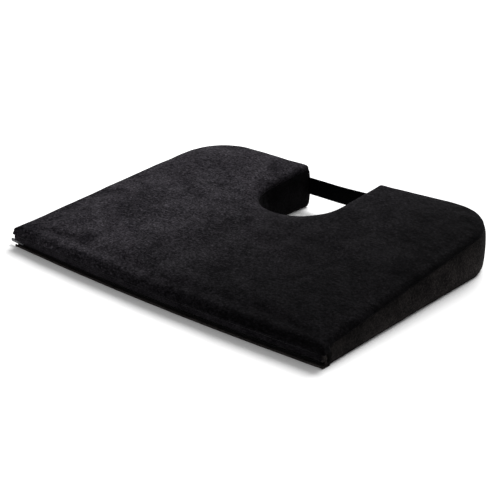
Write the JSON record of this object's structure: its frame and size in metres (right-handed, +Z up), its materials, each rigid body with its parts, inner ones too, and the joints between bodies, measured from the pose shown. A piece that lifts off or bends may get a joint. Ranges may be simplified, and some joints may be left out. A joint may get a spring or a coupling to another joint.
{
  "type": "seat cushion",
  "caption": "Wedge seat cushion with a U-shaped cut-out at the back, a zipped cover and a webbing strap across the cut-out.",
  "frame": {"origin": "centre of the underside, on the surface that the cushion lies on", "axes": "+X to the right across the seat's width, +Y to the back, where the cut-out is, +Z up"},
  "size_m": [0.4676, 0.3439, 0.058],
  "materials": {
    "cover": "matte",
    "foam": "matte",
    "webbing": "matte",
    "thread": "satin",
    "zip_tape": "matte",
    "zip_coil": "satin",
    "zip_metal": "satin"
  },
  "bodies": {
    "cushion": {"foam_core": "foam", "top_panel": "cover", "bottom_panel": "cover", "left_side_band": "cover", "right_side_band": "cover", "cutout_band": "cover", "zip_flap": "cover", "flap_stitching": "thread", "zip_tape_upper": "zip_tape", "zip_tape_lower": "zip_tape", "zip_coil_upper": "zip_coil", "zip_coil_lower": "zip_coil", "zip_top_stops": "zip_metal", "zip_bottom_stop": "zip_metal", "rear_strap": "webbing", "left_strap_bartack": "thread", "right_strap_bartack": "thread"},
    "slider": {"zip_slider": "zip_metal"},
    "pull": {"zip_pull": "zip_metal"}
  },
  "joints": [
    {"name": "zip_travel", "type": "hinge", "parent": "cushion", "child": "slider", "pos_m": [0, 3.56095, 0.0054], "axis": [0, 0, 1], "range_deg": [0, 6.68]},
    {"name": "pull_swing", "type": "hinge", "parent": "slider", "child": "pull", "pos_m": [-0.21725, -0.16232, 0.0054], "axis": [0, 0, 1], "range_deg": [0, 170]}
  ]
}
